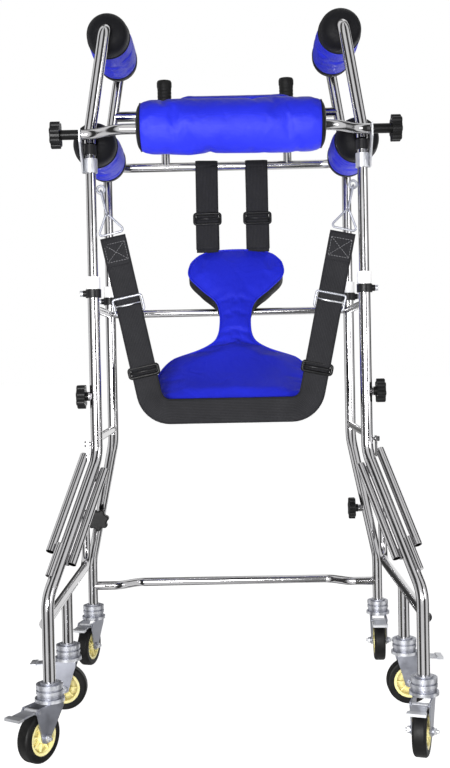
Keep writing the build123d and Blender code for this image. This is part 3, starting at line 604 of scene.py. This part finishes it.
low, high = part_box("chest_pad")
pad_x, pad_z = (low[0] + high[0]) / 2, (low[2] + high[2]) / 2
pad_w, pad_h = (high[0] - low[0]) / 2 - 0.003, (high[2] - low[2]) / 2 - 0.003
bm = bmesh.new()
outline = rounded_outline(pad_w, pad_h, 0.026, 112)
layers = []
front, back = low[1] + 0.004, high[1] - 0.001
levels = [
    (back, 0.97), (back - 0.003, 1.0), (back - 0.009, 1.0), (back - 0.015, 1.0), (back - 0.021, 1.0),
    (front + 0.004, 0.995), (front + 0.001, 0.97), (front, 0.92),
]
for y, share in levels:
    ring = []
    for x, z in outline:
        inset = 0.5 * pad_h * (1 - share)
        kx = max(0.0, abs(x) - inset) / max(abs(x), 1e-9)
        kz = max(0.0, abs(z) - inset) / max(abs(z), 1e-9)
        ring.append(bm.verts.new((pad_x + x * kx, y, pad_z + z * kz)))
    layers.append(ring)
count = len(outline)
for number, (a, b) in enumerate(zip(layers, layers[1:])):
    for i in range(count):
        made = bm.faces.new([a[i], a[(i + 1) % count], b[(i + 1) % count], b[i]])
        made.material_index = 1 if number < 1 else 0
for ring, material in ((layers[0], 1), (layers[-1], 0)):
    inner = ring
    for share in (0.86, 0.70, 0.54, 0.38, 0.22, 0.08):
        nxt = []
        for v, (x, z) in zip(ring, outline):
            limit = pad_h * (1 - share)
            kx = max(0.0, abs(x) - limit) / max(abs(x), 1e-9)
            kz = max(0.0, abs(z) - limit) / max(abs(z), 1e-9)
            nxt.append(bm.verts.new((pad_x + x * kx, v.co.y, pad_z + z * kz)))
        for i in range(count):
            made = bm.faces.new([inner[i], inner[(i + 1) % count], nxt[(i + 1) % count], nxt[i]])
            made.material_index = material
        inner = nxt
    made = bm.faces.new(inner)
    made.material_index = material
bmesh.ops.remove_doubles(bm, verts=bm.verts, dist=0.0004)
bm.verts.index_update()
held = [v.index for v in bm.verts if v.co.y > back - 0.004]
chest = piece("chest_cushion", to_mesh("chest_cushion", bm), "armpit_frame",
              [BLUE, LINER], ["chest_pad"])
stuffed(chest, 0.008, held, 0.01)
subdivided(chest)


# ---- saddle seat -----------------------------------------------------------------------
SEAT_T = 0.042
ARC_R = 0.360
SEAT_START, SEAT_TURN, SEAT_RUN = radians(22.0), radians(57.0), 0.205
NEAR = (MID_Y - 0.122, 0.609)
arc_length = ARC_R * (SEAT_TURN - SEAT_START)
seat_length = arc_length + SEAT_RUN
arc_y = NEAR[0] - ARC_R * sin(SEAT_START)
arc_z = NEAR[1] + ARC_R * cos(SEAT_START)
WIDTHS = [
    (0.609, 0.134), (0.640, 0.150), (0.662, 0.147), (0.688, 0.122), (0.706, 0.070), (0.722, 0.042),
    (0.742, 0.032), (0.778, 0.031), (0.806, 0.040), (0.832, 0.070), (0.862, 0.098), (0.890, 0.096),
    (0.908, 0.080), (0.9186, 0.062),
]


def seat_spot(distance):
    """Place, slope angle of the seat's top surface at a distance from the rear edge."""
    if distance <= arc_length:
        a = SEAT_START + distance / ARC_R
        return arc_y + ARC_R * sin(a), arc_z - ARC_R * cos(a), a
    y = arc_y + ARC_R * sin(SEAT_TURN)
    z = arc_z - ARC_R * cos(SEAT_TURN)
    rest = distance - arc_length
    return y + rest * cos(SEAT_TURN), z + rest * sin(SEAT_TURN), SEAT_TURN


def smooth_table(table, value):
    """Catmull-Rom interpolation of (position, value) pairs."""
    if value <= table[0][0]:
        return table[0][1]
    if value >= table[-1][0]:
        return table[-1][1]
    i = max(k for k in range(len(table) - 1) if table[k][0] <= value)
    p = [table[max(0, min(len(table) - 1, k))][1] for k in (i - 1, i, i + 1, i + 2)]
    t = (value - table[i][0]) / (table[i + 1][0] - table[i][0])
    return 0.5 * (2 * p[1] + (p[2] - p[0]) * t + (2 * p[0] - 5 * p[1] + 4 * p[2] - p[3]) * t * t
                  + (3 * p[1] - p[0] - 3 * p[2] + p[3]) * t ** 3)


def seat_point(distance, lateral, depth):
    """A point on the seat: distance along, share of the half width, depth below the top."""
    y, z, slope = seat_spot(distance)
    half = smooth_table(WIDTHS, z)
    skew = 0.006 + 0.011 * (z - NEAR[1]) / 0.310
    return Vector((skew + lateral * half, y + depth * sin(slope), z - depth * cos(slope)))


ROWS, COLS, DEEP = 76, 34, 6
bm = bmesh.new()
grids = []
for depth in (0.0, SEAT_T - 0.004):
    grid = []
    for i in range(ROWS + 1):
        distance = seat_length * i / ROWS
        row = []
        for j in range(COLS + 1):
            v = -1 + 2 * j / COLS
            end = min(1.0, i / 6, (ROWS - i) / 6)
            crown = 0.006 * (1 - v * v) - 0.004 * (1 - end) ** 2
            below = depth if depth else 0.004 - crown
            row.append(bm.verts.new(seat_point(distance, v, below)))
        grid.append(row)
    grids.append(grid)
for grid, material in zip(grids, (0, 1)):
    for i in range(ROWS):
        for j in range(COLS):
            bm.faces.new([grid[i][j], grid[i][j + 1], grid[i + 1][j + 1], grid[i + 1][j]]
                         ).material_index = material


def rim(grid):
    loop = [grid[0][j] for j in range(COLS + 1)]
    loop += [grid[i][COLS] for i in range(1, ROWS + 1)]
    loop += [grid[ROWS][j] for j in range(COLS - 1, -1, -1)]
    loop += [grid[i][0] for i in range(ROWS - 1, 0, -1)]
    return loop


top_rim, under_rim = rim(grids[0]), rim(grids[1])
bands = [top_rim]
for k in range(1, DEEP):
    share = k / DEEP
    ring = []
    for a, b in zip(top_rim, under_rim):
        point = a.co.lerp(b.co, share)
        ring.append(bm.verts.new(point))
    bands.append(ring)
bands.append(under_rim)
for a, b in zip(bands, bands[1:]):
    for i in range(len(a)):
        j = (i + 1) % len(a)
        bm.faces.new([a[i], a[j], b[j], b[i]]).material_index = 1
bm.verts.index_update()
held = [v.index for v in top_rim] + [v.index for v in under_rim]
seam_line = [v.co.copy() for v in top_rim]
saddle = piece("saddle_seat", to_mesh("saddle_seat", bm), "upper_frame",
               [BLUE, LINER], ["seat"])
stuffed(saddle, 0.010, held, 0.015)
subdivided(saddle)

bm = bmesh.new()
wire(bm, seam_line, 0.0020, 8, closed=True)
piece("saddle_piping", to_mesh("saddle_piping", bm), "upper_frame", [BLUE])


# ---- webbing ---------------------------------------------------------------------------
RING_X, RING_Z = 0.213, 0.910
CORNER_X = 0.147
SLING_Y, SLING_Z = NEAR[0] - 0.004, 0.588
HANDLEBAR_Y, HANDLEBAR_Z = MID_Y + 0.178, 1.100
FRONT_X, FRONT_SHIFT = 0.0535, 0.010
BOX_STITCH = (0.905, 0.872)        # heights of the crossed square of stitches on each return
lean = Vector((0, RING_Z - SLING_Z, SLING_Y - REAR_Y)).normalized()


def sling_point(z, side, out=0.0):
    """A point in the middle of a rear strap at a height, or that far in front of it."""
    share = (RING_Z - z) / (RING_Z - SLING_Z)
    x = RING_X + (CORNER_X - RING_X) * share
    return Vector((side * x, REAR_Y + (SLING_Y - REAR_Y) * share, z)) - lean * out


def sling_down(side):
    return (sling_point(0.6, side) - sling_point(0.9, side)).normalized()


bm = bmesh.new()
sling = rounded([
    (-RING_X, REAR_Y, RING_Z), (-CORNER_X, SLING_Y, SLING_Z),
    (CORNER_X, SLING_Y, SLING_Z), (RING_X, REAR_Y, RING_Z),
], 0.040)
strap(bm, sling, lean, seed=3)
for side in (-1, 1):
    # The sewn return below the ring, then the adjuster's free tail.
    fold = [sling_point(0.917 - 0.006 * i, side, 0.0030) for i in range(10)]
    strap(bm, fold, lean, seed=5 + side)
    tail = [sling_point(0.790 - 0.006 * i, side, 0.0032 + 0.0015 * sin(i / 9)) for i in range(21)]
    strap(bm, tail, lean, seed=8 + side)

seat_end = Vector((0, MID_Y + 0.158, 0.913))
strap_y = HANDLEBAR_Y - 0.0113
for side in (-1, 1):
    x = side * FRONT_X + FRONT_SHIFT
    down = [Vector((x, strap_y, HANDLEBAR_Z)).lerp(Vector((x, seat_end.y, seat_end.z)), i / 31)
            for i in range(32)]
    strap(bm, down, (0, 1, 0), seed=11 + side)
    loop = [Vector((x, HANDLEBAR_Y - 0.0113 * cos(radians(a)), HANDLEBAR_Z + 0.0113 * sin(radians(a))))
            for a in range(-20, 201, 12)]

    def outward(i, loop=loop):
        return (loop[i] - Vector((loop[i].x, HANDLEBAR_Y, HANDLEBAR_Z))).normalized() * -1

    strap(bm, loop, outward, seed=15 + side, curl=0.0)
    back = [Vector((x, HANDLEBAR_Y + 0.0110, HANDLEBAR_Z - 0.004)).lerp(
        Vector((x, strap_y + 0.0045, 1.040)), i / 10) for i in range(11)]
    strap(bm, back, (0, 1, 0), seed=19 + side)
    doubled = [down[i] + Vector((0, -0.0031, 0)) for i in range(19, 31)]
    strap(bm, doubled, (0, 1, 0), width=0.050, seed=23 + side)
piece("sling_webbing", to_mesh("sling_webbing", bm), "upper_frame",
      [STRAP], ["seat_straps"])

bm = bmesh.new()
for side in (-1, 1):
    across = lean.cross(sling_down(side)).normalized() * STRAP_W * 0.4
    corners = [sling_point(z, side, 0.0046) + across * flip for z in BOX_STITCH for flip in (-1, 1)]
    for a, b in ((0, 2), (1, 3), (0, 1), (2, 3), (1, 2), (0, 3)):
        stitches(bm, [corners[a].lerp(corners[b], i / 8) for i in range(9)])
piece("webbing_stitches", to_mesh("webbing_stitches", bm), "upper_frame", [THREAD])


# ---- buckles and slides ----------------------------------------------------------------
def slide(bm, centre, down, out, half_h, bar, tilt=0.0):
    """A strap adjuster: a rounded frame of round bar and a middle bar."""
    half_w = 0.0275
    across = out.cross(down).normalized()
    turn = Matrix.Rotation(tilt, 3, across)
    d, o = turn @ down, turn @ out

    def at(u, v):
        return centre + across * u + d * v

    corners = [at(0, -half_h), at(half_w, -half_h), at(half_w, half_h), at(-half_w, half_h),
               at(-half_w, -half_h), at(0, -half_h)]
    route = rounded(corners, 0.004, 0.003)[:-1]
    wire(bm, route, bar, 10, closed=True)
    wire(bm, [at(-half_w, 0), at(0, 0) + o * 0.0012, at(half_w, 0)], bar * 0.9, 8)


bm = bmesh.new()
for side in (-1, 1):
    slide(bm, sling_point(0.790, side, 0.0025), sling_down(side), -lean, 0.0145, 0.0023, 0.10)
piece("metal_slides", to_mesh("metal_slides", bm), "upper_frame", [ZINC], ["strap_buckles"])

bm = bmesh.new()
for side in (-1, 1):
    slide(bm, sling_point(0.665, side, 0.0030), sling_down(side), -lean, 0.0085, 0.0032)
    x = side * FRONT_X + FRONT_SHIFT
    top = Vector((x, strap_y, HANDLEBAR_Z))
    end = Vector((x, seat_end.y, seat_end.z))
    down = (end - top).normalized()
    centre = top.lerp(end, (HANDLEBAR_Z - 0.985) / (HANDLEBAR_Z - end.z)) + Vector((0, -0.003, 0))
    slide(bm, centre, down, Vector((0, -1, 0)), 0.0110, 0.0032)
piece("plastic_slides", to_mesh("plastic_slides", bm), "upper_frame",
      [BLACK], ["strap_slides"])


# ---- hand grips ------------------------------------------------------------------------
low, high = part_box("hand_grips")
grip_x = high[0] - 0.018
bm = bmesh.new()
for side in (-1, 1):
    profile = [(low[2], 0.0092), (low[2], 0.0165), (low[2] + 0.001, 0.0178), (low[2] + 0.004, 0.0178),
               (low[2] + 0.006, 0.0150)]
    z = low[2] + 0.010
    while z < high[2] - 0.022:
        profile += [(z, 0.0150), (z + 0.0012, 0.0141), (z + 0.0024, 0.0150), (z + 0.006, 0.0151)]
        z += 0.0072
    profile += [(high[2] - 0.018, 0.0150), (high[2] - 0.013, 0.0161), (high[2] - 0.005, 0.0161),
                (high[2] - 0.0012, 0.0145), (high[2], 0.0090), (high[2], 0.0)]
    lathe(bm, profile, 40, Matrix.Translation((side * grip_x, HANDLEBAR_Y, 0)))
piece("ribbed_grips", to_mesh("ribbed_grips", bm), "upper_frame", [GRIP], ["hand_grips"])


# ---- caster details --------------------------------------------------------------------
def hexagon(bm, place, radius, thick):
    """A hexagon nut with chamfered corners."""
    profile = [(0.0, 0.0), (0.0, radius * 0.94), (thick * 0.15, radius), (thick * 0.85, radius),
               (thick, radius * 0.86), (thick, 0.0)]
    lathe(bm, profile, 6, place)


for name in ("rear_left", "rear_right", "middle_left", "middle_right", "front_left", "front_right"):
    spin = next(j for j in frame["joints"] if j["name"] == f"{name}_wheel_spin")
    axle = Vector(spin["axis"]).normalized()
    wheel_low, wheel_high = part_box(f"{name}_tyre")
    centre = (Vector(wheel_low) + Vector(wheel_high)) / 2
    bm = bmesh.new()
    for turn in range(8):
        angle = 2 * pi * turn / 8
        for side in (-1, 1):
            rib = Matrix.Translation(centre) @ along_axis((0, 0, 0), axle, angle)
            made = bmesh.ops.create_cube(bm, size=1.0)["verts"]
            bmesh.ops.scale(bm, verts=made, vec=(0.0135, 0.0024, 0.0056))
            bmesh.ops.translate(bm, verts=made, vec=(0.0178, 0, side * 0.0068))
            bmesh.ops.transform(bm, verts=made, matrix=rib)
    ribs = piece(f"{name}_ribs", to_mesh(f"{name}_ribs", bm), f"{name}_wheel",
                 [CORE], smooth=False)
    bevel = ribs.modifiers.new("edges", "BEVEL")
    bevel.width = 0.0006
    bevel.segments = 2

    bm = bmesh.new()
    for side in (-1, 1):
        hexagon(bm, along_axis(centre + axle * side * 0.0206, axle * side), 0.0062, 0.0045)
        lathe(bm, [(0.0, 0.0), (0.0, 0.0030), (0.0035, 0.0030), (0.0042, 0.0022), (0.0042, 0.0)], 16,
              along_axis(centre + axle * side * 0.0250, axle * side))
    nuts = to_mesh(f"{name}_axle_nuts", bm)
    piece(f"{name}_axle_nuts", nuts, f"{name}_swivel", [ZINC], smooth=False)


# ---- camera, floor and light -----------------------------------------------------------
camera = bpy.data.objects.new("camera", bpy.data.cameras.new("camera"))
bpy.context.scene.collection.objects.link(camera)
camera.data.sensor_fit = "VERTICAL"
camera.data.sensor_height = 24.0
camera.data.lens = 24.0 * 1077.0 / 768.0
camera.location = (0.004, MID_Y - 2.154, 0.686)
pan, pitch, roll = radians(0.42), radians(-1.36), radians(-1.15)
camera.rotation_euler = (
    Matrix.Rotation(pan, 3, "Z") @ Matrix.Rotation(pi / 2 + pitch, 3, "X")
    @ Matrix.Rotation(roll, 3, "Z")
).to_euler()
bpy.context.scene.camera = camera

floor_mesh = bpy.data.meshes.new("floor")
floor_mesh.from_pydata([(-30, -30, 0), (30, -30, 0), (30, 30, 0), (-30, 30, 0)], [], [(0, 1, 2, 3)])
floor = bpy.data.objects.new("floor", floor_mesh)
bpy.context.scene.collection.objects.link(floor)
paper = Shader("studio_floor")
floor_mesh.materials.append(paper.finish(
    Base_Color=(0.82, 0.82, 0.82), Roughness=0.9, Specular_IOR_Level=0.1,
    Emission_Color=(1.0, 1.0, 1.0, 1.0), Emission_Strength=0.95))
floor.visible_glossy = False


def soft_light(name, place, aim, size, power):
    """A rectangular area light that looks at a point."""
    data = bpy.data.lights.new(name, "AREA")
    data.shape = "RECTANGLE"
    data.size, data.size_y = size
    data.energy = power
    obj = bpy.data.objects.new(name, data)
    bpy.context.scene.collection.objects.link(obj)
    obj.location = place
    obj.rotation_euler = (Vector(aim) - Vector(place)).to_track_quat("-Z", "Y").to_euler()


soft_light("key_light", (-0.6, -3.0, 0.60), (0, 0, 0.9), (1.4, 0.6), 86.0)
soft_light("fill_light", (2.2, -2.2, 1.0), (0, 0, 0.7), (0.9, 1.2), 14.0)
soft_light("top_light", (0.0, 0.4, 3.4), (0, 0, 0.6), (2.4, 2.4), 2.0)

PANELS = 4.0
world = bpy.data.worlds.new("studio")
bpy.context.scene.world = world
world.use_nodes = True
tree = world.node_tree


def world_node(kind, *inputs, **settings):
    """Add a node to the world and feed its inputs in order."""
    made = tree.nodes.new(kind)
    for key, value in settings.items():
        setattr(made, key, value)
    for socket, value in zip(made.inputs, inputs):
        if isinstance(value, bpy.types.NodeSocket):
            tree.links.new(value, socket)
        else:
            socket.default_value = value
    return made.outputs[0]


# Metal sees tall dark and bright panels round the studio, soft surfaces are lit by a ring of
# light that fades overhead, and the camera sees plain white.
direction = tree.nodes.new("ShaderNodeTexCoord").outputs["Generated"]
split = tree.nodes.new("ShaderNodeSeparateXYZ")
tree.links.new(direction, split.inputs[0])
azimuth = world_node("ShaderNodeMath", split.outputs[0], split.outputs[1], operation="ARCTAN2")
turns = world_node("ShaderNodeMath", azimuth, PANELS, operation="MULTIPLY")
wave = world_node("ShaderNodeMath", turns, operation="SINE")
panel = world_node("ShaderNodeMapRange", wave, -0.6, 0.3, 0.05, 1.0)
seen_in_metal = world_node("ShaderNodeBackground", panel, 1.0)
overhead = world_node("ShaderNodeMapRange", split.outputs[2], 0.0, 0.5, 0.48, 0.02)
soft_box = world_node("ShaderNodeBackground", overhead, 1.0)
plain = tree.nodes["Background"]
plain.inputs["Color"].default_value = (1.0, 1.0, 1.0, 1.0)
plain.inputs["Strength"].default_value = 1.0
rays = tree.nodes.new("ShaderNodeLightPath")
lit = tree.nodes.new("ShaderNodeMixShader")
tree.links.new(rays.outputs["Is Glossy Ray"], lit.inputs[0])
tree.links.new(soft_box, lit.inputs[1])
tree.links.new(seen_in_metal, lit.inputs[2])
chooser = tree.nodes.new("ShaderNodeMixShader")
tree.links.new(rays.outputs["Is Camera Ray"], chooser.inputs[0])
tree.links.new(lit.outputs[0], chooser.inputs[1])
tree.links.new(plain.outputs[0], chooser.inputs[2])
tree.links.new(chooser.outputs[0], tree.nodes["World Output"].inputs["Surface"])
bpy.context.scene.view_settings.view_transform = "Standard"
